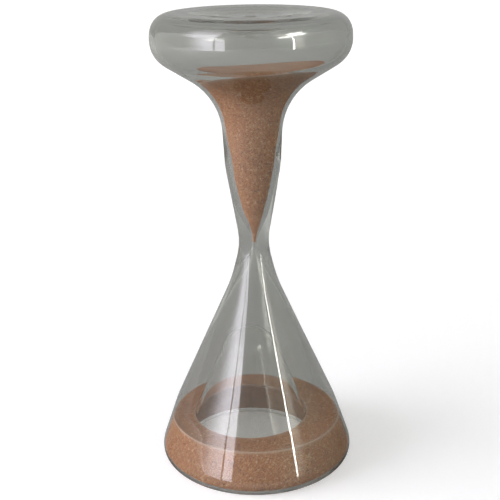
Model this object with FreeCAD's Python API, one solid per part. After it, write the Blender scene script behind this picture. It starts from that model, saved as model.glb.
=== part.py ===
"""Frameless blown-glass hourglass: a wide shallow head on a funnel, above a cone with a hollow punt.

Frame: millimetres, +Z up, origin on the axis at the height of the surface it stands on.
The head's dished top has a flat rim that it stands on when it is turned over.
The two blown bulbs are fused together just above the waist.
The punt, pushed up into the cone a little off its axis, makes the sand lie in a ring.

Every outline is a list of corners (radius, height, rounding): straight runs joined by tangent arcs.
It starts on the axis at the top and goes outwards and down, with the material on its right.
"""

import FreeCAD, Part
import math
import os

V = FreeCAD.Vector

# Overall
TOTAL_HEIGHT = 200.0
HEAD_RADIUS = 41.8
BASE_RADIUS = 43.3
WAIST_HEIGHT = 101.6

# Dished top, which is also the foot when the glass is turned over
DISH_DEPTH = 1.8
DISH_FLOOR_RADIUS = 10.0
DISH_ROUNDING = 30.0
LENS_DEPTH = 3.4  # how much lower the glass hangs under the middle of the dish
LENS_FLAT_RADIUS = 5.0
LENS_FLAT_ROUNDING = 8.0
LENS_RADIUS = 16.0
LENS_EDGE_ROUNDING = 10.0
RIM_WIDTH = 17.0  # from the dish's upper edge to the head's side
RIM_ROUNDING = 6.0
SHOULDER_ROUNDING = 8.1

# Head and stem
HEAD_DEPTH = 16.8  # from the top to the corner under the head's side
BELLY_FLARE = 1.1  # how much wider the head is at that corner than at the top
BELLY_ROUNDING = 11.7
TRUMPET_DROP = 17.9  # from that corner to the top of the stem
TRUMPET_ROUNDING = 28.2
STEM_TOP_RADIUS = 13.1
KNEE_RADIUS = 11.9
KNEE_SHARE = 0.545  # of the way from the waist up to the top of the stem
KNEE_ROUNDING = 61.0

# Waist and cone
WAIST_RADIUS = 6.0  # at the corner, before it is rounded
WAIST_ROUNDING = 29.5
FLARE_RADIUS = 10.4
FLARE_BELOW_WAIST = 17.1
FLARE_ROUNDING = 66.0
ANKLE_RADIUS = 36.4
ANKLE_HEIGHT = 26.1  # where the cone steepens into its foot
ANKLE_ROUNDING = 20.0
HEEL_HEIGHT = 6.0  # where the foot turns down to stand upright
HEEL_ROUNDING = 7.0
FOOT_ROUNDING = 4.7
SEAM_ABOVE_WAIST = 3.7

# Glass thickness
HEAD_WALL = 2.3
CONE_WALL = 0.9  # over the lower part of the cone
FOOT_WALL = 1.3
PUNT_WALL = 1.5

# Inside of the funnel, the bore and the cone
FUNNEL_TOP_RADIUS = 12.5
FUNNEL_TOP_DROP = 0.74  # below the head's wall line, so that the wall thins into the stem
FUNNEL_TOP_ROUNDING = 28.0
FUNNEL_KNEE_RADIUS = 10.75
FUNNEL_KNEE_SHARE = 0.6876  # of the way from the waist up to the funnel's top
FUNNEL_KNEE_ROUNDING = 70.0
FUNNEL_TIP_RADIUS = 4.3
FUNNEL_TIP_ABOVE_WAIST = 14.0  # where the funnel starts to close into the bore
FUNNEL_TIP_ROUNDING = 14.0
BORE_RADIUS = 0.75
BORE_TOP_ABOVE_WAIST = 4.0
BORE_END_BELOW_WAIST = 3.0
BORE_ROUNDING = 12.0
THICK_CONE_END_BELOW_WAIST = 46.6  # the wall thins from the waist down to here
THICK_CONE_END_ROUNDING = 200.0

# Punt
PUNT_HEIGHT = 61.4
PUNT_SHIFT = -2.5  # along X, from the axis of the cone
PUNT_CROWN_RADIUS = 8.9  # at the corner, before it is rounded
PUNT_CROWN_ROUNDING = 11.6
TROUGH_WIDTH = 10.4  # from the punt's foot to the outside of the base
PUNT_FOOT_ROUNDING = 12.0
MOUTH_SLOPE = 14.0  # degrees below level, the last of the punt's flare
MOUTH_RUN = 12.0  # how far that flare is carried, past the glass

# Drop of glass closing the fill hole in the middle of the dish
FILL_HOLE_RADIUS = 2.2
SEAL_TIP_HEIGHT = 0.3
SEAL_BEAD_RADIUS = 3.4
SEAL_BEAD_DEPTH = 2.2
SEAL_BEAD_ROUNDING = 2.0

# Sand
SAND_GAP = 0.1  # between the sand's outermost grains and the glass
UPPER_SAND_BELOW_TOP = 24.7
UPPER_SAND_TILT = 9.0  # degrees
UPPER_SAND_HIGH_SIDE = -55.0  # degrees round from +X to the side the surface rises towards
UPPER_SAND_END_ABOVE_WAIST = 1.0
LOWER_SAND_LEVEL = 19.8

CLEAR = 20.0  # how far cutting shapes reach past the glass


def run_direction(start, end):
    """Unit vector along the run between two corners."""
    length = math.hypot(end[0] - start[0], end[1] - start[1])
    return (end[0] - start[0]) / length, (end[1] - start[1]) / length


def turn_angle(u, v):
    """Angle between two unit vectors, in radians."""
    return abs(math.atan2(u[0] * v[1] - u[1] * v[0], u[0] * v[0] + u[1] * v[1]))


def rounding_reaches(corners):
    """How far each rounding reaches along its runs, limited where two would meet on a short run."""
    reaches = [0.0]
    for before, corner, after in zip(corners, corners[1:], corners[2:]):
        turn = turn_angle(run_direction(before, corner), run_direction(corner, after))
        reaches.append(corner[2] * math.tan(turn / 2))
    reaches.append(0.0)
    limits = list(reaches)
    for i, (start, end) in enumerate(zip(corners, corners[1:])):
        wanted = reaches[i] + reaches[i + 1]
        length = math.hypot(end[0] - start[0], end[1] - start[1])
        if wanted > length:
            limits[i] = min(limits[i], reaches[i] * length / wanted)
            limits[i + 1] = min(limits[i + 1], reaches[i + 1] * length / wanted)
    return limits


def inset(corners, depth):
    """Corners of the outline that lies depth to the right of this one, with its roundings matched."""
    lines = []
    for start, end in zip(corners, corners[1:]):
        u = run_direction(start, end)
        lines.append(((start[0] + depth * u[1], start[1] - depth * u[0]), u))
    moved = [(max(lines[0][0][0], 0.0), lines[0][0][1], 0.0)]
    for (p, u), (q, v), corner in zip(lines, lines[1:], corners[1:]):
        cross = u[0] * v[1] - u[1] * v[0]
        along = ((q[0] - p[0]) * v[1] - (q[1] - p[1]) * v[0]) / cross
        rounding = corner[2] + math.copysign(depth, cross * depth)
        moved.append((p[0] + along * u[0], p[1] + along * u[1], rounding))
    u = lines[-1][1]
    moved.append((corners[-1][0] + depth * u[1], corners[-1][1] - depth * u[0], 0.0))
    return moved


def point(pair):
    """A (radius, height) pair as a point of the XZ plane."""
    return V(pair[0], 0, pair[1])


def straight(start, end):
    """The line between two (radius, height) pairs, in a list that is empty where they are one point."""
    if math.hypot(end[0] - start[0], end[1] - start[1]) < 1e-6:
        return []
    return [Part.LineSegment(point(start), point(end)).toShape()]


def outline_edges(corners):
    """Lines and tangent arcs through the corners, in the XZ plane."""
    edges = []
    at = corners[0][:2]
    reaches = rounding_reaches(corners)
    for before, corner, after, reach in zip(corners, corners[1:], corners[2:], reaches[1:]):
        r, z, _ = corner
        u = run_direction(before, corner)
        v = run_direction(corner, after)
        first = (r - reach * u[0], z - reach * u[1])
        last = (r + reach * v[0], z + reach * v[1])
        edges += straight(at, first)
        if reach > 0:
            inward = run_direction(u, v)
            turn = turn_angle(u, v)
            sagitta = reach / math.tan(turn / 2) * (1 / math.cos(turn / 2) - 1)
            middle = (r + sagitta * inward[0], z + sagitta * inward[1])
            edges.append(Part.Arc(point(first), point(middle), point(last)).toShape())
        at = last
    return edges + straight(at, corners[-1][:2])


def turned(corners, shift=0.0):
    """Solid of revolution of an outline that starts on the axis, closed by a flat end."""
    end = corners[-1][:2]
    foot = (0.0, end[1])
    edges = outline_edges(corners) + straight(end, foot) + straight(foot, corners[0][:2])
    solid = Part.Face(Part.Wire(edges)).revolve(V(0, 0, 0), V(0, 0, 1), 360)
    solid.translate(V(shift, 0, 0))
    return solid


def slab(low, high):
    """Everything between two heights."""
    half = max(HEAD_RADIUS, BASE_RADIUS) + CLEAR
    return Part.makeBox(2 * half, 2 * half, high - low, V(-half, -half, low))


def head_corners():
    """Outside of the glass from the middle of the dish to the top of the stem."""
    head_low = TOTAL_HEIGHT - HEAD_DEPTH
    return [
        (0.0, TOTAL_HEIGHT - DISH_DEPTH, 0.0),
        (DISH_FLOOR_RADIUS, TOTAL_HEIGHT - DISH_DEPTH, DISH_ROUNDING),
        (HEAD_RADIUS - RIM_WIDTH, TOTAL_HEIGHT, RIM_ROUNDING),
        (HEAD_RADIUS - BELLY_FLARE, TOTAL_HEIGHT, SHOULDER_ROUNDING),
        (HEAD_RADIUS, head_low, BELLY_ROUNDING),
        (STEM_TOP_RADIUS, head_low - TRUMPET_DROP, TRUMPET_ROUNDING),
    ]


def cone_corners():
    """Outside of the glass from the flare under the waist to the flat it stands on."""
    return [
        (FLARE_RADIUS, WAIST_HEIGHT - FLARE_BELOW_WAIST, FLARE_ROUNDING),
        (ANKLE_RADIUS, ANKLE_HEIGHT, ANKLE_ROUNDING),
        (BASE_RADIUS, HEEL_HEIGHT, HEEL_ROUNDING),
        (BASE_RADIUS, 0.0, FOOT_ROUNDING),
        (BASE_RADIUS - TROUGH_WIDTH, 0.0, 0.0),
    ]


def outer_corners():
    """Outside of the glass, from the middle of the dish to the flat it stands on."""
    head = head_corners()
    knee_height = WAIST_HEIGHT + KNEE_SHARE * (head[-1][1] - WAIST_HEIGHT)
    neck = [
        (KNEE_RADIUS, knee_height, KNEE_ROUNDING),
        (WAIST_RADIUS, WAIST_HEIGHT, WAIST_ROUNDING),
    ]
    return head + neck + cone_corners()


def radius_between(start, end, height):
    """Radius at a height on the run between two corners."""
    return start[0] + (end[0] - start[0]) * (height - start[1]) / (end[1] - start[1])


def height_between(start, end, radius):
    """Height at a radius on the run between two corners."""
    return start[1] + (end[1] - start[1]) * (radius - start[0]) / (end[0] - start[0])


def lens_bottom():
    """Height of the lowest glass under the middle of the dish."""
    return TOTAL_HEIGHT - DISH_DEPTH - HEAD_WALL - LENS_DEPTH


def cavity_corners():
    """Inside of the glass, from under the dish through the bore to the floor of the cone."""
    head = inset(head_corners(), HEAD_WALL)
    lens_edge = height_between(head[1], head[2], LENS_RADIUS)
    funnel_top = height_between(head[4], head[5], FUNNEL_TOP_RADIUS) - FUNNEL_TOP_DROP
    funnel_knee = WAIST_HEIGHT + FUNNEL_KNEE_SHARE * (funnel_top - WAIST_HEIGHT)
    flare, ankle, heel, foot, _ = inset(cone_corners(), CONE_WALL)
    thin = WAIST_HEIGHT - THICK_CONE_END_BELOW_WAIST
    lens = [
        (0.0, lens_bottom(), 0.0),
        (LENS_FLAT_RADIUS, lens_bottom(), LENS_FLAT_ROUNDING),
        (LENS_RADIUS, lens_edge, LENS_EDGE_ROUNDING),
    ]
    return lens + head[2:5] + [
        (FUNNEL_TOP_RADIUS, funnel_top, FUNNEL_TOP_ROUNDING),
        (FUNNEL_KNEE_RADIUS, funnel_knee, FUNNEL_KNEE_ROUNDING),
        (FUNNEL_TIP_RADIUS, WAIST_HEIGHT + FUNNEL_TIP_ABOVE_WAIST, FUNNEL_TIP_ROUNDING),
        (BORE_RADIUS, WAIST_HEIGHT + BORE_TOP_ABOVE_WAIST, BORE_ROUNDING),
        (BORE_RADIUS, WAIST_HEIGHT - BORE_END_BELOW_WAIST, BORE_ROUNDING),
        (radius_between(flare, ankle, thin), thin, THICK_CONE_END_ROUNDING),
        ankle,
        heel,
        (foot[0], FOOT_WALL, foot[2]),
        (BASE_RADIUS - TROUGH_WIDTH, FOOT_WALL, 0.0),
    ]


def punt_corners():
    """Cavity side of the punt about its own axis, from its crown to past the floor of the cone."""
    foot_radius = BASE_RADIUS - TROUGH_WIDTH
    fall = MOUTH_RUN * math.tan(math.radians(MOUTH_SLOPE))
    return [
        (0.0, PUNT_HEIGHT, 0.0),
        (PUNT_CROWN_RADIUS, PUNT_HEIGHT, PUNT_CROWN_ROUNDING),
        (foot_radius, FOOT_WALL, PUNT_FOOT_ROUNDING),
        (foot_radius + MOUTH_RUN, FOOT_WALL - fall, 0.0),
    ]


def make_punt_space(depth):
    """Everything under the surface that lies depth inside the punt's cavity side."""
    corners = inset(punt_corners(), depth)
    return turned(corners + [(corners[-1][0], -CLEAR, 0.0)], PUNT_SHIFT)


def make_cavity(gap):
    """The sealed space inside both bulbs, less a gap along all its walls."""
    return turned(inset(cavity_corners(), gap)).cut(make_punt_space(-gap))


def make_fill_hole():
    """Round hole through the middle of the dish."""
    low = lens_bottom() - HEAD_WALL
    return Part.makeCylinder(FILL_HOLE_RADIUS, TOTAL_HEIGHT - low, V(0, 0, low))


def make_glass():
    """Both bulbs as one fused glass, with the fill hole open."""
    hollows = [make_cavity(0.0), make_punt_space(PUNT_WALL), make_fill_hole()]
    return turned(outer_corners()).cut(hollows).removeSplitter()


def make_fill_seal():
    """Drop that fills the hole, with a low tip in the dish and a wider bead hanging inside."""
    dish = TOTAL_HEIGHT - DISH_DEPTH
    under = lens_bottom()
    bead_low = under - SEAL_BEAD_DEPTH
    return turned([
        (0.0, dish + SEAL_TIP_HEIGHT, 0.0),
        (FILL_HOLE_RADIUS, dish + SEAL_TIP_HEIGHT, SEAL_TIP_HEIGHT),
        (FILL_HOLE_RADIUS, under, 0.0),
        (SEAL_BEAD_RADIUS, under, 0.0),
        (SEAL_BEAD_RADIUS, bead_low, SEAL_BEAD_ROUNDING),
        (FILL_HOLE_RADIUS / 2, bead_low, 0.0),
    ])


def make_upper_sand(inside):
    """Sand from a tilted surface in the head down to its end in the bore."""
    level = TOTAL_HEIGHT - UPPER_SAND_BELOW_TOP
    low = WAIST_HEIGHT + UPPER_SAND_END_ABOVE_WAIST
    keep = slab(low - level - CLEAR, 0.0)
    keep.rotate(V(0, 0, 0), V(0, 1, 0), -UPPER_SAND_TILT)
    keep.rotate(V(0, 0, 0), V(0, 0, 1), UPPER_SAND_HIGH_SIDE)
    keep.translate(V(0, 0, level))
    return inside.common(keep).common(slab(low, TOTAL_HEIGHT))


def make_lower_sand(inside):
    """Ring of sand lying level between the cone and the punt."""
    return inside.common(slab(0.0, LOWER_SAND_LEVEL))


def make_parts():
    """Every piece by name."""
    glass = make_glass()
    inside = make_cavity(SAND_GAP)
    seam = WAIST_HEIGHT + SEAM_ABOVE_WAIST
    return {
        "upper_bulb": glass.common(slab(seam, TOTAL_HEIGHT + CLEAR)),
        "lower_bulb": glass.common(slab(-CLEAR, seam)),
        "fill_seal": make_fill_seal(),
        "upper_sand": make_upper_sand(inside),
        "lower_sand": make_lower_sand(inside),
    }


def main():
    os.makedirs("parts", exist_ok=True)
    for name, shape in make_parts().items():
        print(name, "solids", len(shape.Solids), "valid", shape.isValid(), "volume", round(shape.Volume, 1))
        shape.exportStep(f"parts/{name}.step")


main()
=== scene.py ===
# %% [markdown]
# # A frameless blown-glass hourglass
# The hourglass is two bulbs of clear, faintly grey glass, melted together at the waist, with brown sand inside.
# Glass is drawn by what it bends and mirrors, so its skin has to be smoother than an engineering mesh.
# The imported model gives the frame; the skins are worked out again here from the same sizes, finer and rounder.

# %% Load the frame and keep its box
import math
import bpy
import numpy as np
from mathutils import Matrix, Vector

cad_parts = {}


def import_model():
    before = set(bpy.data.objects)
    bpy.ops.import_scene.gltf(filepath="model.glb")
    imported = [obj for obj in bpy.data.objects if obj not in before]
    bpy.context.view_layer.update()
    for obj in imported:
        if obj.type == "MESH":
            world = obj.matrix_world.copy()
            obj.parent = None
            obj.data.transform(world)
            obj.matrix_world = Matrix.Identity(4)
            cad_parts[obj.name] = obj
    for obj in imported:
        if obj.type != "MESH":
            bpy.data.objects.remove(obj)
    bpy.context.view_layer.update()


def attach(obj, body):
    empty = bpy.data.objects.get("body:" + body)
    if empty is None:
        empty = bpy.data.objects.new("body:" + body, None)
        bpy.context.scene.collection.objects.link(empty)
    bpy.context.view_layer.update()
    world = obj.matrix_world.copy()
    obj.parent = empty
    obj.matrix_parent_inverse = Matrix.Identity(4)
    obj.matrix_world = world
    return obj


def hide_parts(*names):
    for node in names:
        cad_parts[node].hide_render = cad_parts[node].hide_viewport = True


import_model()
MM = 0.001

# %% [markdown]
# ## The outline, in corners
# A glass blower's profile is straight runs joined by soft bends, so an outline is a list of corners.
# Each corner is (radius, height, rounding) in millimetres. Four sizes at the top are shared by all outlines.
# Every outline travels with the glass on its right hand, so that all faces end up pointing out of the glass.

# %% Sizes of the glass in millimetres
TOP, WAIST, SEAM = 200.0, 101.6, 105.3
PUNT_SHIFT = -2.5        # the punt stands this far off the axis, along X
HOLE = 2.2               # fill hole in the middle of the dish
SAND_GAP = 0.1           # loose grains touch the glass only here and there

DISH, LENS, FLOOR = 198.2, 192.5, 1.3
outside = [
    (HOLE, DISH, 0), (10.0, DISH, 30.0), (24.8, TOP, 6.0), (40.7, TOP, 8.1),
    (41.8, 183.2, 11.7), (13.1, 165.3, 28.2), (11.9, 136.3, 61.0), (6.0, WAIST, 29.5),
    (10.4, 84.5, 66.0), (36.4, 26.1, 20.0), (43.25, 6.0, 7.0), (43.25, 0.0, 4.7), (33.6, 0.0, 0),
]
inside = [
    (HOLE, LENS, 0), (5.0, LENS, 8.0), (16.0, 196.6, 10.0), (24.94, 197.7, 3.7), (38.55, 197.7, 5.8),
    (39.41, 184.42, 9.4), (12.5, 166.9, 28.0), (10.75, 146.5, 70.0), (4.3, 115.6, 14.0), (0.75, 105.6, 12.0),
    (0.75, 98.6, 12.0), (22.55, 55.0, 200.0), (35.56, 25.77, 19.1),
    (42.4, 5.85, 6.1), (42.4, FLOOR, 3.8), (36.0, FLOOR, 0),
]
punt_over = [(0.0, 61.4, 0), (8.9, 61.4, 11.6), (32.9, FLOOR, 12.0), (44.9, -1.69, 0)]
punt_under = [(0.0, 59.9, 0), (7.88, 59.9, 10.1), (31.79, 0.03, 13.5), (44.54, -3.15, 0)]

# %% [markdown]
# ## From corners to a smooth curve
# Straight runs and arcs meet without a kink, but their curvature jumps, and glass shows such a jump as a break
# in its highlights. So the curve is walked in even steps and then blurred a little along its own length,
# which is what surface tension does to the hot glass.

# %% Curve helpers
def rounded(corners, step=0.05):
    """Points along the runs and tangent arcs through the corners.
    An arc of radius R that turns by angle t starts and ends R*tan(t/2) from its corner."""
    c = np.array(corners, float)
    points, at = [], c[0, :2]
    for before, here, after in zip(c, c[1:], c[2:]):
        u = (here - before)[:2] / np.hypot(*(here - before)[:2])
        v = (after - here)[:2] / np.hypot(*(after - here)[:2])
        turn = math.atan2(u[0] * v[1] - u[1] * v[0], u @ v)
        reach = here[2] * math.tan(abs(turn) / 2)
        first = here[:2] - reach * u
        points.append(np.linspace(at, first, max(2, int(np.hypot(*(first - at)) / step))))
        if here[2] > 0:
            side = math.copysign(1.0, turn)
            centre = first + side * here[2] * np.array([-u[1], u[0]])
            angle = np.linspace(0, turn, max(8, int(here[2] * abs(turn) / step)))[:, None]
            spoke = first - centre
            across = np.array([-spoke[1], spoke[0]])
            points.append(centre + np.cos(angle) * spoke + np.sin(angle) * across)
        at = here[:2] + reach * v
    points.append(np.linspace(at, c[-1, :2], max(2, int(np.hypot(*(c[-1, :2] - at)) / step))))
    return np.vstack(points)


def even(curve, step):
    """The same curve in even steps: its coordinates are read off at equal lengths along it."""
    length = np.r_[0, np.cumsum(np.hypot(*np.diff(curve, axis=0).T))]
    keep = np.r_[True, np.diff(length) > 1e-9]
    at = np.linspace(0, length[-1], max(3, int(length[-1] / step)))
    return np.column_stack([np.interp(at, length[keep], curve[keep, k]) for k in range(curve.shape[1])])


def softened(curve, blur, step=0.05):
    """The curve blurred along its length with a Gaussian of that width in millimetres; its ends stay put,
    because past each end the curve is continued by its own reflection through the end point."""
    curve = even(curve, step)
    n = int(4 * blur / step)
    kernel = np.exp(-0.5 * (np.arange(-n, n + 1) * step / blur) ** 2)
    kernel /= kernel.sum()
    padded = np.vstack([2 * curve[0] - curve[n:0:-1], curve, 2 * curve[-1] - curve[-2:-n - 2:-1]])
    return np.column_stack([np.convolve(padded[:, k], kernel, "valid") for k in range(curve.shape[1])])


def spaced(curve, count, pull=8.0):
    """count points of the curve, closer together where it bends: the spacing follows 1 + pull * curvature."""
    step = np.diff(curve, axis=0)
    angle = np.unwrap(np.arctan2(step[:, 1], step[:, 0]))
    bend = np.abs(np.gradient(angle)) / np.maximum(np.hypot(*step.T), 1e-9)
    bend = np.convolve(np.pad(bend, 20, "edge"), np.ones(41) / 41, "valid")
    measure = np.r_[0, np.cumsum(np.hypot(*step.T) * (1 + pull * bend))]
    at = np.linspace(0, measure[-1], count)
    return np.column_stack([np.interp(at, measure, curve[:, k]) for k in range(curve.shape[1])])


outer_curve = softened(rounded(outside), 1.0)
inner_curve = softened(rounded(inside), 0.9)
print("outline lengths in mm:", len(outer_curve) * 0.05, len(inner_curve) * 0.05)

# %% [markdown]
# ## Blown by hand
# A lathe would make the glass exactly round. A blower's glass wanders by a few tenths of a millimetre, and the
# bore wanders inside it, so highlights waver a little on their way down. Two slow waves do this here.

# %% Small wanderings of the glass
def bore_drift(z):
    """Sideways drift of the inside against the outside: a slow wave in height that dies away at both ends."""
    z = np.asarray(z, float)
    return 0.2 * np.exp(-((z - 109) / 6.0) ** 2) - 0.4 * np.exp(-((z - 128) / 11.0) ** 2)


def out_of_round(z, angle, amount):
    """Radius change: an oval and a three-lobed wave whose phases turn slowly with height."""
    return amount * (np.cos(2 * angle + 0.6 + z / 31.0) + 0.5 * np.cos(3 * angle - z / 19.0))


def turn_round(curve, centre, columns, amount=0.0):
    """Points of the surface swept by a profile (r, z) round a centre line that may lie off the Z axis:
    x = centre + (r + wave) cos(angle), y = (r + wave) sin(angle), z = z. Shape (rows, columns, 3)."""
    r, z = curve[:, :1], curve[:, 1:2]
    angle = np.linspace(0, 2 * np.pi, columns, endpoint=False)[None, :]
    fade = np.clip(r / 6.0, 0, 1)
    wide = r + fade * out_of_round(z, angle, amount)
    x = np.asarray(centre, float).reshape(-1, 1) + wide * np.cos(angle)
    return np.stack([x, wide * np.sin(angle), np.broadcast_to(z, x.shape)], axis=2)

# %% [markdown]
# ## From a grid of points to a closed skin
# Each skin is a grid: rows along the profile, columns round the axis. Where a profile starts or ends on the
# axis the whole row shrinks to one pole, and a fan of triangles closes it. A ring-shaped profile that comes
# back to its start joins its last row to its first.

# %% Mesh helpers
def linear(hex_code):
    """An sRGB hex colour as linear red, green, blue and alpha."""
    c = np.array([int(hex_code[i:i + 2], 16) for i in (1, 3, 5)]) / 255
    c = np.where(c <= 0.04045, c / 12.92, ((c + 0.055) / 1.055) ** 2.4)
    return (*c.tolist(), 1.0)


def skin(name, grid, rows_finish, finishes, closed=False, poles=(False, False), sharp=50, dust_and_painted_light=None):
    """A mesh object from a (rows, columns, 3) grid in millimetres. rows_finish gives the finish of each band
    of faces between two rows. Faces run (row, next row, next column), so they face right of the travel.
    dust, one number for each row, is kept as an attribute that a material can read; the sand reads it for
    painted light."""
    rows, columns, _ = grid.shape
    index = np.arange(rows * columns).reshape(rows, columns)
    if poles[0]:
        index[0] = index[0, 0]
    if poles[1]:
        index[-1] = index[-1, 0]
    a, b = (index, np.roll(index, -1, 0)) if closed else (index[:-1], index[1:])
    quads = np.stack([a, b, np.roll(b, -1, 1), np.roll(a, -1, 1)], axis=2).reshape(-1, 4)
    finish = np.repeat(np.asarray(rows_finish)[:len(a)], columns)
    used, flat = np.unique(quads, return_inverse=True)
    quads = flat.reshape(-1, 4)
    top = quads[:, 0] == quads[:, 3]
    low = quads[:, 1] == quads[:, 2]
    faces = quads[~top & ~low].tolist() + quads[top][:, :3].tolist() + quads[low][:, [0, 1, 3]].tolist()
    finish = np.concatenate([finish[~top & ~low], finish[top], finish[low]])
    mesh = bpy.data.meshes.new(name)
    mesh.from_pydata((grid.reshape(-1, 3)[used] * MM).tolist(), [], faces)
    for material in finishes:
        mesh.materials.append(material)
    mesh.polygons.foreach_set("material_index", finish.astype(np.int32))
    if dust_and_painted_light is not None:
        layer = mesh.attributes.new("dust_and_painted_light", "FLOAT", "POINT")
        layer.data.foreach_set("value", np.repeat(dust_and_painted_light, columns)[used].astype(np.float32))
    mesh.shade_smooth()
    mesh.set_sharp_from_angle(angle=math.radians(sharp))
    piece = bpy.data.objects.new(name, mesh)
    bpy.context.scene.collection.objects.link(piece)
    print(name, len(mesh.vertices), "points", len(mesh.polygons), "faces")
    return piece


def add(tree, kind, settings=None, links=None):
    """Adds one shader node: settings by attribute or socket name, links as socket: (node, output)."""
    made = tree.nodes.new(kind)
    for key, value in (settings or {}).items():
        if isinstance(key, int) or key in made.inputs:
            made.inputs[key].default_value = value
        else:
            setattr(made, key, value)
    for key, (source, output) in (links or {}).items():
        tree.links.new(source.outputs[output], made.inputs[key])
    return made


def span(from_low, from_high, to_low=0.0, to_high=1.0):
    """Settings of a Map Range node that takes one range to another."""
    return {"From Min": from_low, "From Max": from_high, "To Min": to_low, "To Max": to_high}


def new_material(name):
    """An empty node material and its tree."""
    material = bpy.data.materials.new(name)
    material.use_nodes = True
    material.node_tree.nodes.clear()
    return material, material.node_tree

# %% [markdown]
# ## Glass
# The material is taken to be blown borosilicate glass: IOR 1.47, no roughness worth the name, fire-polished.
# Its grey is put on the outer skin alone, so that the two walls of a bulb are seen to the same depth of
# grey everywhere, thick waist and thin cone alike, and the inner skin stays clear.
# Lamps reach the sand straight through it: for shadow rays the glass is a clear sheet, without caustics.
# Slow ripples of a few hundredths of a millimetre, as fire polishing leaves, come from a weak bump.

# %% Glass materials
GLASS_IOR = 1.47


def glass(name, hex_code, ripple, shadow, rim_shade_up, rim_shade_down, film):
    """Fire-polished glass with a weak ripple about 9 mm long; shadow is what lamps keep on their way through.
    calm is the share of the mirror image that is left out where the glass is seen edge-on, a painted shade that
    darkens the rims in place of a darker room: rim_shade_up where the skin faces up, rim_shade_down where it
    faces down, towards the shade under the head. film is the share of the skin that scatters light and hangs
    over everything as a faint haze. Both are fitted for looks and are not properties of the glass."""
    material, tree = new_material(name)
    through = linear(hex_code)
    once = tuple(math.sqrt(c) for c in through)
    place = add(tree, "ShaderNodeTexCoord")
    stretch = add(tree, "ShaderNodeMapping", {"Scale": (1.0, 1.0, 0.35)}, {"Vector": (place, "Object")})
    wave = add(tree, "ShaderNodeTexNoise", {"Scale": 110.0, "Detail": 1.0, "Roughness": 0.4},
               {"Vector": (stretch, "Vector")})
    bump = add(tree, "ShaderNodeBump", {"Strength": ripple, "Distance": 0.0004}, {"Height": (wave, 0)})
    body = add(tree, "ShaderNodeBsdfPrincipled", {
        "Base Color": through, "Roughness": 0.0, "IOR": GLASS_IOR, "Transmission Weight": 1.0,
    }, {"Normal": (bump, "Normal")})
    bend = add(tree, "ShaderNodeBsdfRefraction", {"Color": once, "Roughness": 0.0, "IOR": GLASS_IOR},
               {"Normal": (bump, "Normal")})
    # Painted shade: the mirror image is cut where the skin is seen edge-on, more where it faces down, to darken
    # the rims.
    edge = add(tree, "ShaderNodeLayerWeight", {"Blend": 0.5})
    side = add(tree, "ShaderNodeNewGeometry")
    faces = add(tree, "ShaderNodeSeparateXYZ", None, {"Vector": (side, "True Normal")})
    rim_shade = add(tree, "ShaderNodeMapRange", span(-0.2, 0.6, rim_shade_down, rim_shade_up), {"Value": (faces, "Z")})
    enters = add(tree, "ShaderNodeMapRange", {"From Min": 0.1, "From Max": 0.6},
                 {"Value": (edge, "Facing"), "To Max": (rim_shade, "Result")})
    leaves = add(tree, "ShaderNodeMapRange", {"From Min": 0.04, "From Max": 0.22},
                 {"Value": (edge, "Facing"), "To Max": (rim_shade, "Result")})
    passes = add(tree, "ShaderNodeMath", {"operation": "LESS_THAN", 1: 0.262}, {0: (edge, "Facing")})
    leaves = add(tree, "ShaderNodeMath", {"operation": "MULTIPLY"}, {0: (leaves, "Result"), 1: (passes, 0)})
    share = add(tree, "ShaderNodeMapRange", None,
                {"Value": (side, "Backfacing"), "To Min": (enters, "Result"), "To Max": (leaves, 0)})
    dim = add(tree, "ShaderNodeMixShader", None, {0: (share, "Result"), 1: (body, "BSDF"), 2: (bend, "BSDF")})
    dust_and_painted_light = add(tree, "ShaderNodeBsdfDiffuse", {"Color": linear("#fff6e2")})
    dim = add(tree, "ShaderNodeMixShader", {0: film}, {1: (dim, "Shader"), 2: (dust_and_painted_light, 0)})
    sheet = add(tree, "ShaderNodeBsdfTransparent", {"Color": (shadow, shadow, shadow, 1.0)})
    path = add(tree, "ShaderNodeLightPath")
    both = add(tree, "ShaderNodeMixShader", None,
               {0: (path, "Is Shadow Ray"), 1: (dim, "Shader"), 2: (sheet, 0)})
    add(tree, "ShaderNodeOutputMaterial", None, {"Surface": (both, 0)})
    return material


outer_glass = glass("borosilicate_blown_outer_skin", "#828480", 0.06, 0.96, 0.72, 0.9, 0.022)
inner_glass = glass("borosilicate_blown_inner_skin", "#fdfdfc", 0.08, 0.8, 0.85, 0.85, 0.0)

joint, tree = new_material("borosilicate_melted_joint")
inner = add(tree, "ShaderNodeBsdfPrincipled", {"Base Color": linear("#ffffff"), "Alpha": 0.0})
add(tree, "ShaderNodeOutputMaterial", None, {"Surface": (inner, "BSDF")})
SKINS = [outer_glass, inner_glass, joint]
OUTER, INNER, JOINT = 0, 1, 2

# %% [markdown]
# ## Sand
# Dyed quartz sand, sieved to about 0.25 mm. A grain is smaller than the render can show, so it is drawn at
# 0.45 mm. Grains differ in colour, a few are almost black, a few are clear quartz and glint.

# %% Sand material
GRAIN = 0.00045          # metres


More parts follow.
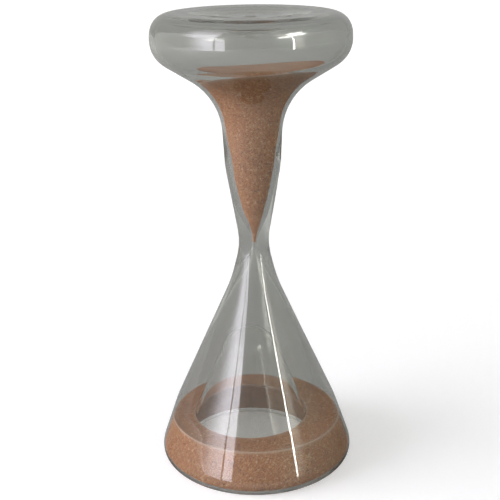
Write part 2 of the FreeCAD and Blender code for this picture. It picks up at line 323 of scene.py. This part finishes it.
def sand(name):
    """Cells as grains: each takes one colour from a ramp, a rounded bump, and a few are glossy."""
    material, tree = new_material(name)
    place = add(tree, "ShaderNodeTexCoord")
    cells = add(tree, "ShaderNodeTexVoronoi", {"Scale": 1 / GRAIN, "Randomness": 1.0},
                {"Vector": (place, "Object")})
    patch = add(tree, "ShaderNodeTexNoise", {"Scale": 700.0, "Detail": 2.0}, {"Vector": (place, "Object")})
    pick = add(tree, "ShaderNodeSeparateColor", None, {"Color": (cells, "Color")})
    ramp = add(tree, "ShaderNodeValToRGB", None, {"Fac": (pick, "Red")})
    stops = [(0.0, "#7a4a28"), (0.1, "#aa693a"), (0.5, "#bb7a48"), (0.88, "#cc925f"), (1.0, "#e4c49a")]
    ramp.color_ramp.elements.remove(ramp.color_ramp.elements[1])
    ramp.color_ramp.elements[0].color = linear(stops[0][1])
    for position, hex_code in stops[1:]:
        ramp.color_ramp.elements.new(position).color = linear(hex_code)
    shade = add(tree, "ShaderNodeMapRange", span(0.3, 0.7, 0.9, 1.1), {"Value": (patch, 0)})
    tint = add(tree, "ShaderNodeVectorMath", {"operation": "SCALE"},
               {0: (ramp, "Color"), "Scale": (shade, "Result")})
    # Painted light: the colour goes towards a pale grey-pink where the dust attribute is high, which lightens
    # the top of the upper sand and thin lines along the top edges of the sand, in place of the haze and light
    # that fall there.
    dust_and_painted_light = add(tree, "ShaderNodeAttribute", {"attribute_name": "dust_and_painted_light"})
    painted_light_mix = add(tree, "ShaderNodeMix", {"data_type": "RGBA"}, {0: (dust_and_painted_light, "Fac"), 6: (tint, "Vector")})
    painted_light_mix.inputs[7].default_value = linear("#d8bba4")
    gloss = add(tree, "ShaderNodeMapRange", span(0.93, 0.98, 0.85, 0.45), {"Value": (pick, "Green")})
    bump = add(tree, "ShaderNodeBump", {"Strength": 0.45, "Distance": 0.00022, "invert": True},
               {"Height": (cells, "Distance")})
    body = add(tree, "ShaderNodeBsdfPrincipled", {"IOR": 1.5}, {
        "Base Color": (painted_light_mix, 2), "Roughness": (gloss, "Result"), "Normal": (bump, "Normal"),
    })
    add(tree, "ShaderNodeOutputMaterial", None, {"Surface": (body, "BSDF")})
    return material


sand_material = sand("quartz_sand_brown_sieved")

# %% [markdown]
# ## The upper bulb
# One closed skin: from the fill hole over the dish and rim, down the outside to the seam, and back up through
# the bore and the funnel to the underside of the dish. At the seam and in the fill hole the real glass is
# melted to its neighbour, so those faces get the joint finish that light passes as if it weren't there.

# %% Upper bulb
COLUMNS = 256
OVAL = 0.1               # how far the glass is out of round, in millimetres


def split_at(curve, height):
    """Index of the first point of a downward curve that lies below a height."""
    return int(np.argmax(curve[:, 1] < height))


def at_height(curve, height):
    """The curve cut at a height: the part above, ended exactly there, and the part below, begun there."""
    i = split_at(curve, height)
    share = (height - curve[i - 1, 1]) / (curve[i, 1] - curve[i - 1, 1])
    cut = curve[i - 1] + share * (curve[i] - curve[i - 1])
    return np.vstack([curve[:i], cut]), np.vstack([cut, curve[i:]])


outer_up, outer_low = at_height(outer_curve, SEAM)
inner_up, inner_low = at_height(inner_curve, SEAM)
ridge = lambda z: 0.05 * np.exp(-((z - SEAM) / 0.45) ** 2)


def parts(*pieces):
    """Joins profile pieces given as (curve, finish of its bands) to all rows and the finish of each band."""
    rows = np.vstack([curve for curve, _ in pieces])
    finish = np.concatenate([np.full(len(curve), f) for curve, f in pieces])
    return rows, finish


def upper_bulb():
    """Profile as a ring: outside down, seam inward, inside up, fill hole up."""
    out = spaced(outer_up, 170)
    out[:, 0] += ridge(out[:, 1])
    back = spaced(inner_up, 165)[::-1]
    seam = np.linspace(out[-1], back[0], 4)[1:-1]
    hole = np.linspace(back[-1], out[0], 4)[1:-1]
    rows, finish = parts((out, OUTER), (seam, JOINT), (back, INNER), (hole, JOINT))
    finish[len(out) - 1] = JOINT
    finish[len(out) + 1] = JOINT
    finish[len(out) + 2 + len(back) - 1] = JOINT
    drift = np.zeros(len(rows))
    drift[len(out) + 2:len(out) + 2 + len(back)] = bore_drift(back[:, 1])
    return skin("upper_bulb_glass", turn_round(rows, drift, COLUMNS, OVAL), finish, SKINS, closed=True)


upper_glass = upper_bulb()
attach(upper_glass, "root")
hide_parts("upper_bulb")

# %% [markdown]
# ## The lower bulb
# The cone has a punt pushed up into it, a little off its axis. Seen as one skin it starts at the crown of the
# punt inside, runs down into the trough, up the inside of the cone and through the bore to the seam, then down
# the outside, over the standing ring and up under the punt. The centre line slides over to the punt's own axis
# on the floor of the trough and on the flat of the standing ring, where nothing gives the slide away.

# %% Lower bulb
def lower_bulb():
    """Profile from pole to pole: punt down, cone up, seam out, outside down, ring in, hollow up."""
    over = softened(rounded(punt_over), 0.6)
    over = spaced(over[over[:, 1] > FLOOR + 0.02], 100)
    cone_in = spaced(inner_low, 120)[::-1]
    out = spaced(outer_low, 130)
    out[:, 0] += ridge(out[:, 1])
    under = softened(rounded(punt_under), 0.6)
    under = spaced(under[under[:, 1] > 0.02], 100)[::-1]
    print("foot of the punt at", over[-1], cone_in[0], "its mouth at", under[0], out[-1])
    seam = np.linspace(cone_in[-1], out[0], 4)[1:-1]
    rows, finish = parts((over, INNER), (cone_in, INNER), (seam, JOINT), (out, OUTER), (under, INNER))
    n_in = len(over) + len(cone_in)
    finish[n_in - 1] = JOINT
    finish[n_in + 2:n_in + 2 + len(out)][out[:, 1] < 0.25] = INNER
    trough = np.clip((cone_in[:, 0] - 36.2) / 2.2, 0, 1) + (cone_in[:, 1] > FLOOR + 0.15)
    ring = np.clip((out[:, 0] - 33.6) / 4.8, 0, 1) + (out[:, 1] > 0.3)
    slide = lambda t: PUNT_SHIFT * (1 - np.clip(t, 0, 1))
    centre = np.concatenate([
        np.full(len(over), PUNT_SHIFT), bore_drift(cone_in[:, 1]) + slide(trough), np.zeros(2),
        slide(ring), np.full(len(under), PUNT_SHIFT)])
    grid = turn_round(rows, centre, COLUMNS, OVAL)
    return skin("lower_bulb_glass", grid, finish, SKINS, poles=(True, True))


lower_glass = lower_bulb()
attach(lower_glass, "root")
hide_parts("lower_bulb")

# %% [markdown]
# ## The drop that closes the fill hole
# After the sand goes in, the hole in the dish is closed with a drop of hot glass. It pulls itself into a low
# tip above and a round bead below, and it works as a small strong lens.

# %% Fill seal
TIP_RISE = 0.3           # above the dish
BEAD, BEAD_DROP = 3.4, 2.2   # radius of the bead and how far it hangs


def fill_seal():
    """Profile from pole to pole: low tip, wall of the hole, contact with the dish, bead."""
    rises = [(0.0, DISH + TIP_RISE, 0), (HOLE, DISH + TIP_RISE, 0.28), (HOLE, DISH, 0)]
    tip = spaced(softened(rounded(rises), 0.12), 24)
    wall = np.linspace((HOLE, DISH), (HOLE, LENS), 5)[1:]
    lip = np.linspace((HOLE, LENS), (BEAD, LENS), 4)[1:]
    hangs = [(BEAD, LENS, 0), (BEAD, LENS - BEAD_DROP, 2.1), (0.0, LENS - BEAD_DROP, 0)]
    bead = spaced(softened(rounded(hangs), 0.2), 40)[1:]
    rows, finish = parts((tip, OUTER), (wall, JOINT), (lip, JOINT), (bead, INNER))
    finish[len(tip) - 1] = JOINT
    finish[len(tip) + len(wall) + len(lip) - 1] = INNER
    return skin("fill_seal_drop", turn_round(rows, np.zeros(len(rows)), 96), finish, SKINS, poles=(True, True))


seal = fill_seal()
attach(seal, "root")
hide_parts("fill_seal")

# %% [markdown]
# ## The sand in the head
# The sand fills the funnel from its slanted top down to the end of the bore. Its side is the inside of the
# glass, drawn in by the gap. Its top is a plane that rises to one side, with soft humps and two low heaps.

# %% Upper sand
def inset_curve(curve, depth):
    """The curve moved to its right by a depth: each point goes along the normal of the curve there."""
    along = np.gradient(curve, axis=0)
    along /= np.hypot(*along.T)[:, None]
    return curve + depth * np.column_stack([along[:, 1], -along[:, 0]])


def humps(x, y, height):
    """Soft humps of poured sand: a sum of a few slow waves."""
    return height * (np.sin(x / 3.1 + 0.7) * np.cos(y / 4.3) + 0.6 * np.sin(x / 7.9 - y / 5.2 + 2.0)
                     + 0.35 * np.sin(x / 1.7 + y / 1.9))


sand_wall = inset_curve(inner_curve, SAND_GAP)


def upper_sand():
    """Side: wall radius at heights from the bore's end to the slanted level. Top: the rim drawn to the middle.
    The level at the rim solves z = level + tan(slant) * r(z) * cos(angle - high side), by repeating it."""
    level, slant, low = 175.3, math.tan(math.radians(9.0)), 102.6
    high_side = math.radians(-55.0)
    wall = sand_wall[(sand_wall[:, 1] > low - 1) & (sand_wall[:, 1] < 186)][::-1]
    radius = lambda z: np.interp(z, wall[:, 1], wall[:, 0])
    angle = np.linspace(0, 2 * np.pi, 192, endpoint=False)[None, :]
    heap = 0.9 * np.exp(-((angle - 4.5) / 0.6) ** 2) + 0.7 * np.exp(-((angle - 2.8) / 0.5) ** 2)
    rim = np.full_like(angle, level)
    for _ in range(30):
        rim = level + heap + slant * radius(rim) * np.cos(angle - high_side)
    share = np.linspace(0, 1, 150)[:, None] ** 0.9
    z = low + share * (rim - low)
    r = radius(z)
    side = np.stack([bore_drift(z) + r * np.cos(angle), r * np.sin(angle), z], axis=2)
    inward = np.linspace(1, 0, 60)[1:, None]
    x, y = side[-1, :, 0] * inward, side[-1, :, 1] * inward
    rise = np.cos(high_side) * (x - bore_drift(level)) + np.sin(high_side) * y
    top_z = level + heap * inward ** 2 + slant * rise + humps(x, y, 0.28) * np.clip((1 - inward) * 5, 0, 1)
    top = np.stack([x, y, top_z], axis=2)
    outward = np.linspace(0, 0.9, 5)[:, None]
    end = np.stack([side[0, :, 0] * outward, side[0, :, 1] * outward, np.full((5, 192), low)], axis=2)
    grid = np.concatenate([end, side, top])[::-1]
    # Painted light: the top of the side and most of the top are lightened through the dust attribute.
    side_painted_light = np.exp(-(1 - share.ravel()) * 90)
    top_painted_light = 0.5 * np.clip((1 - inward.ravel()) * 8, 0, 1)
    dust_and_painted_light = np.concatenate([np.zeros(5), side_painted_light, top_painted_light])[::-1]
    return skin("upper_sand_grains", grid, np.zeros(len(grid)), [sand_material], poles=(True, True),
                sharp=60, dust_and_painted_light=dust_and_painted_light)


sand_up = upper_sand()
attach(sand_up, "root")
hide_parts("upper_sand")

# %% [markdown]
# ## The sand in the base
# It lies in the trough between the cone and the punt. Its cross-section is a closed loop: up the cone's inside,
# across its nearly level top, down the punt and along the floor. The punt is off centre, so the ring is
# wider on one side.

# %% Lower sand
def lower_sand():
    """Each point slides from the cone's axis to the punt's: on top by its share of the way across."""
    level = 19.8
    wall = sand_wall[(sand_wall[:, 1] < level) & (sand_wall[:, 0] > 20)][::-1]
    wall = spaced(np.vstack([wall[wall[:, 0] > 38.2], (np.interp(level, wall[:, 1], wall[:, 0]), level)]), 40)
    punt = inset_curve(softened(rounded(punt_over), 0.6), -SAND_GAP)
    punt = punt[(punt[:, 1] < level) & (punt[:, 1] > FLOOR + 0.15)]
    punt = spaced(np.vstack([(np.interp(level, punt[::-1, 1], punt[::-1, 0]), level), punt]), 40)
    across = np.linspace(0, 1, 44)[1:-1]
    top = np.column_stack([wall[-1, 0] + across * (punt[0, 0] - wall[-1, 0]), np.full(42, level)])
    floor = np.linspace(punt[-1], wall[0], 8)[1:-1]
    rows = np.vstack([wall, top, punt, floor])
    centre = PUNT_SHIFT * np.concatenate([np.zeros(40), across, np.ones(40), np.linspace(1, 0, 8)[1:-1]])
    grid = turn_round(rows[::-1], centre[::-1], 320)
    on_top = np.concatenate([np.zeros(40), across, np.zeros(40), np.zeros(6)])
    middle = np.sin(np.pi * on_top)[::-1, None] ** 0.5
    grid[:, :, 2] += humps(grid[:, :, 0], grid[:, :, 1], 0.16) * middle
    # Painted light: thin lines along the top edges of the ring are lightened through the dust attribute.
    edge = np.exp(-(level - rows[:, 1]) / 0.45)
    edge[40:82] = 0.5 * (np.exp(-across * 16) + np.exp(-(1 - across) * 16))
    return skin("lower_sand_grains", grid, np.zeros(len(grid)), [sand_material], closed=True,
                sharp=60, dust_and_painted_light=edge[::-1])


sand_low = lower_sand()
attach(sand_low, "root")
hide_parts("lower_sand")

# %% [markdown]
# ## Floor and light
# A pale floor under a white room. The room is seen white by the eye and through the glass, and lights the sand
# more weakly, so that a lamp at the left can model it. The window has two panes, and a slim one stands at the
# right. Floor and room have their own brightness for each kind of ray, which is fitted for looks.

# %% Studio
def light_path(tree, *rays):
    """1 for a ray of any of the named kinds, else 0: the largest of the Light Path outputs."""
    path = add(tree, "ShaderNodeLightPath")
    seen = add(tree, "ShaderNodeMath", {"operation": "MAXIMUM", 1: 0.0}, {0: (path, rays[0])})
    for ray in rays[1:]:
        seen = add(tree, "ShaderNodeMath", {"operation": "MAXIMUM"}, {0: (seen, 0), 1: (path, ray)})
    return seen


SCATTER_GLOW = 0.4       # what the floor gives to rays that sand or dust has scattered
MOST_STEPS = 12.5        # paths with more steps than this see the windows dark


def floor():
    """A wide disc just under the glass: rings of points on circles of growing radius.
    It glows a little for the eye, more so far away, where the lamps fade, less for what is seen through the
    glass, and brighter towards the window for what the glass mirrors."""
    grid = turn_round(np.column_stack([np.linspace(0, 3000, 8), np.full(8, -0.15)]), np.zeros(8), 96)
    material, tree = new_material("matt_white_tabletop")
    place = add(tree, "ShaderNodeTexCoord")
    away = add(tree, "ShaderNodeVectorMath", {"operation": "LENGTH"}, {0: (place, "Object")})
    eye = add(tree, "ShaderNodeMapRange", span(0.1, 1.2, 0.46, 0.78), {"Value": (away, "Value")})
    glass_glow = add(tree, "ShaderNodeMapRange", span(0.1, 1.2, 0.0, 0.4), {"Value": (away, "Value")})
    direct = add(tree, "ShaderNodeMath", {"operation": "MULTIPLY"},
                 {0: (light_path(tree, "Is Camera Ray"), 0), 1: (eye, "Result")})
    bent = light_path(tree, "Is Transmission Ray")
    side = add(tree, "ShaderNodeSeparateXYZ", None, {"Vector": (place, "Object")})
    window_side = add(tree, "ShaderNodeMapRange", span(-0.5, -0.1, 0.8, 0.36), {"Value": (side, "X")})
    glow = add(tree, "ShaderNodeMath", {"operation": "MULTIPLY_ADD"},
               {0: (bent, 0), 1: (glass_glow, "Result"), 2: (direct, 0)})
    glow = add(tree, "ShaderNodeMath", {"operation": "MULTIPLY_ADD", 1: SCATTER_GLOW},
               {0: (light_path(tree, "Is Diffuse Ray"), 0), 2: (glow, 0)})
    glow = add(tree, "ShaderNodeMath", {"operation": "MULTIPLY_ADD"},
               {0: (light_path(tree, "Is Glossy Ray"), 0), 1: (window_side, "Result"), 2: (glow, 0)})
    body = add(tree, "ShaderNodeBsdfPrincipled", {
        "Base Color": linear("#f2f2f0"), "Roughness": 0.9, "Emission Color": (1, 1, 1, 1),
    }, {"Emission Strength": (glow, 0)})
    add(tree, "ShaderNodeOutputMaterial", None, {"Surface": (body, "BSDF")})
    return skin("tabletop", grid, np.zeros(8), [material], poles=(True, False))


floor()


def world():
    """White for the eye and for what the glass shows, a weaker light for what sand or floor has scattered.
    The white is a little weaker for mirrored rays that go to the front."""
    room = bpy.data.worlds.new("white_room")
    room.use_nodes = True
    tree = room.node_tree
    tree.nodes.clear()
    seen = light_path(tree, "Is Camera Ray", "Is Transmission Ray", "Is Glossy Ray")
    path = add(tree, "ShaderNodeLightPath")
    fresh = add(tree, "ShaderNodeMath", {"operation": "LESS_THAN", 1: 0.5}, {0: (path, "Diffuse Depth")})
    white = add(tree, "ShaderNodeMath", {"operation": "MULTIPLY"}, {0: (seen, 0), 1: (fresh, 0)})
    place = add(tree, "ShaderNodeTexCoord")
    toward = add(tree, "ShaderNodeSeparateXYZ", None, {"Vector": (place, "Generated")})
    ambient = add(tree, "ShaderNodeMapRange", span(0.0, 1.0, 0.7, 0.06), {"Value": (toward, "Z")})
    front = add(tree, "ShaderNodeMapRange", span(-0.3, 0.3, 0.75, 1.0), {"Value": (toward, "Y")})
    mirrored = add(tree, "ShaderNodeMapRange", {"To Min": 1.0},
                   {"Value": (path, "Is Glossy Ray"), "To Max": (front, "Result")})
    level = add(tree, "ShaderNodeMapRange", None,
                {"Value": (white, 0), "To Min": (ambient, "Result"), "To Max": (mirrored, "Result")})
    sky = add(tree, "ShaderNodeBackground", {"Color": (1, 1, 1, 1)}, {"Strength": (level, "Result")})
    add(tree, "ShaderNodeOutputWorld", None, {"Surface": (sky, 0)})
    bpy.context.scene.world = room


world()

# %% Windows for the glass to mirror
def ease(t):
    """0 below 0, 1 above 1, and 3t^2 - 2t^3 between."""
    t = np.clip(t, 0, 1)
    return t * t * (3 - 2 * t)


def opening(across, up, sides, ends, soft):
    """A bright rectangle in degrees; it fades over the four widths soft = (left, right, bottom, top)."""
    return (ease((across - sides[0]) / soft[0]) * ease((sides[1] - across) / soft[1])
            * ease((up - ends[0]) / soft[2]) * ease((ends[1] - up) / soft[3]))


def screen():
    """Part of a sphere of 1.4 m around the glass, in azimuth (0 in front, + to the right) and elevation:
    x = R sin a cos e, y = -R cos a cos e, z = R sin e + 0.1 m. Each point carries the light it gives off."""
    a, e = np.meshgrid(np.linspace(-115, 175, 1161), np.linspace(-16, 80, 193))
    ar, er = np.radians(a), np.radians(e)
    ahead = np.stack([np.sin(ar) * np.cos(er), -np.cos(ar) * np.cos(er), np.sin(er)], axis=2)
    grid = 1400 * ahead + (0, 0, 100)
    jag = np.abs((e / 8.0) % 1 * 2 - 1)
    daylight = 9.0 * opening(a, e, (-78, -41.2), (-20, 24), (30, 0.6, 30, 2))
    daylight += 8.0 * opening(a, e, (-39.6, -28.2), (-10, 24), (0.6, 0.8, 10, 2))
    daylight += 9.0 * opening(a + 5 * jag, e, (-88, -37), (22, 66), (22, 1.5, 2, 34))
    lamp = 42.0 * opening(a, e, (44.8, 47.4), (-6, 25), (0.5, 0.5, 6, 3))
    lamp += 16.0 * opening(a - 4 * jag, e, (27, 45), (25, 33), (3, 2, 2, 2))
    lamp += 22.0 * opening(a + 8 * jag, e, (47, 72), (29, 47), (3, 3, 3, 3))
    lamp += 5.0 * opening(a, e, (0, 16), (45, 49), (3, 3, 2, 2))
    warm = 3.2 * opening(a, e, (47.6, 62), (-6, 25), (0.5, 8, 8, 3))
    warm += 2.5 * opening(a, e, (24, 80), (20, 54), (12, 16, 10, 14))
    spill = 1.0 * opening(a, e, (-100, -12), (-16, 80), (30, 34, 8, 14))
    wall = 0.5 * opening(a, e, (15, 115), (-16, 80), (25, 30, 8, 14))
    colours = [(0.93, 0.9, 1.0), (1.0, 1.0, 0.95), (1.0, 0.93, 0.8), (0.95, 0.94, 1.0), (0.9, 1.0, 0.75)]
    glow = sum(g[:, :, None] * np.array(c) for g, c in zip((daylight, lamp, warm, spill, wall), colours))
    rows, columns = a.shape
    index = np.arange(rows * columns).reshape(rows, columns)
    quads = np.stack([index[:-1, :-1], index[:-1, 1:], index[1:, 1:], index[1:, :-1]], axis=2).reshape(-1, 4)
    mesh = bpy.data.meshes.new("window_screen")
    mesh.from_pydata((grid.reshape(-1, 3) * MM).tolist(), [], quads.tolist())
    layer = mesh.attributes.new("glow", "FLOAT_COLOR", "POINT")
    layer.data.foreach_set("color", np.dstack([glow, np.ones_like(a)]).astype(np.float32).ravel())
    material, tree = new_material("window_light")
    painted = add(tree, "ShaderNodeAttribute", {"attribute_name": "glow"})
    path = add(tree, "ShaderNodeLightPath")
    few = add(tree, "ShaderNodeMath", {"operation": "LESS_THAN", 1: MOST_STEPS}, {0: (path, "Ray Depth")})
    light = add(tree, "ShaderNodeEmission", None, {"Color": (painted, "Color"), "Strength": (few, 0)})
    clear = add(tree, "ShaderNodeBsdfTransparent")
    both = add(tree, "ShaderNodeAddShader", None, {0: (clear, 0), 1: (light, 0)})
    add(tree, "ShaderNodeOutputMaterial", None, {"Surface": (both, 0)})
    mesh.materials.append(material)
    card = bpy.data.objects.new("window_screen", mesh)
    bpy.context.scene.collection.objects.link(card)
    card.visible_camera = card.visible_diffuse = card.visible_shadow = False
    print("window screen", rows, "by", columns, "points, brightest", glow.max())
    return card


screen()


def pane(name, azimuth, elevation, distance, width, height, radiance, colour="#ffffff"):
    """An area lamp that looks at the middle of the glass from an azimuth and elevation in degrees and lights
    the sand and the floor. The glass doesn't mirror it: its power is radiance * pi * area."""
    data = bpy.data.lights.new(name, "AREA")
    data.shape, data.size, data.size_y = "RECTANGLE", width, height
    data.color = linear(colour)[:3]
    data.energy = radiance * math.pi * width * height
    lamp = bpy.data.objects.new(name, data)
    lamp.visible_glossy = lamp.visible_transmission = False
    a, e = math.radians(azimuth), math.radians(elevation)
    middle = Vector((0, 0, 0.1))
    place = Vector((math.sin(a) * math.cos(e), -math.cos(a) * math.cos(e), math.sin(e))) * distance + middle
    facing = (place - middle).to_track_quat("Z", "Y").to_matrix().to_4x4()
    lamp.matrix_world = Matrix.Translation(place) @ facing
    bpy.context.scene.collection.objects.link(lamp)
    return lamp


pane("soft_side_light", -76, 12, 1.6, 1.3, 1.2, 8.4, "#f8f4ff")

# %% [markdown]
# ## Camera
# A hand-held view from about 0.4 m, a little above the top of the glass, looking down at it by 19 degrees.
# The lens axis passes a little beside the middle of the frame, which a small shift of the lens repeats.

# %% Camera
def camera():
    """Axes from pitch and roll; a 69.5 mm lens on a 36 mm sensor."""
    pitch, roll = math.radians(18.696), math.radians(-0.795)
    ahead = Vector((0, math.cos(pitch), -math.sin(pitch)))
    right = Vector((1, 0, 0))
    down = ahead.cross(right)
    turned_right = right * math.cos(roll) - down * math.sin(roll)
    turned_down = right * math.sin(roll) + down * math.cos(roll)
    data = bpy.data.cameras.new("camera")
    data.sensor_width, data.lens, data.clip_start = 36.0, 69.5, 0.01
    data.shift_x, data.shift_y = -0.0077, -0.0225
    eye = bpy.data.objects.new("camera", data)
    eye.matrix_world = Matrix.Translation((0, -0.3983, 0.2380)) @ Matrix(
        (turned_right, -turned_down, -ahead)).transposed().to_4x4()
    bpy.context.scene.collection.objects.link(eye)
    bpy.context.scene.camera = eye


camera()
scene = bpy.context.scene
scene.view_settings.view_transform = "Standard"
scene.cycles.use_denoising = True
scene.cycles.max_bounces = 64
scene.cycles.transmission_bounces = 64
scene.cycles.glossy_bounces = 64
scene.cycles.transparent_max_bounces = 64
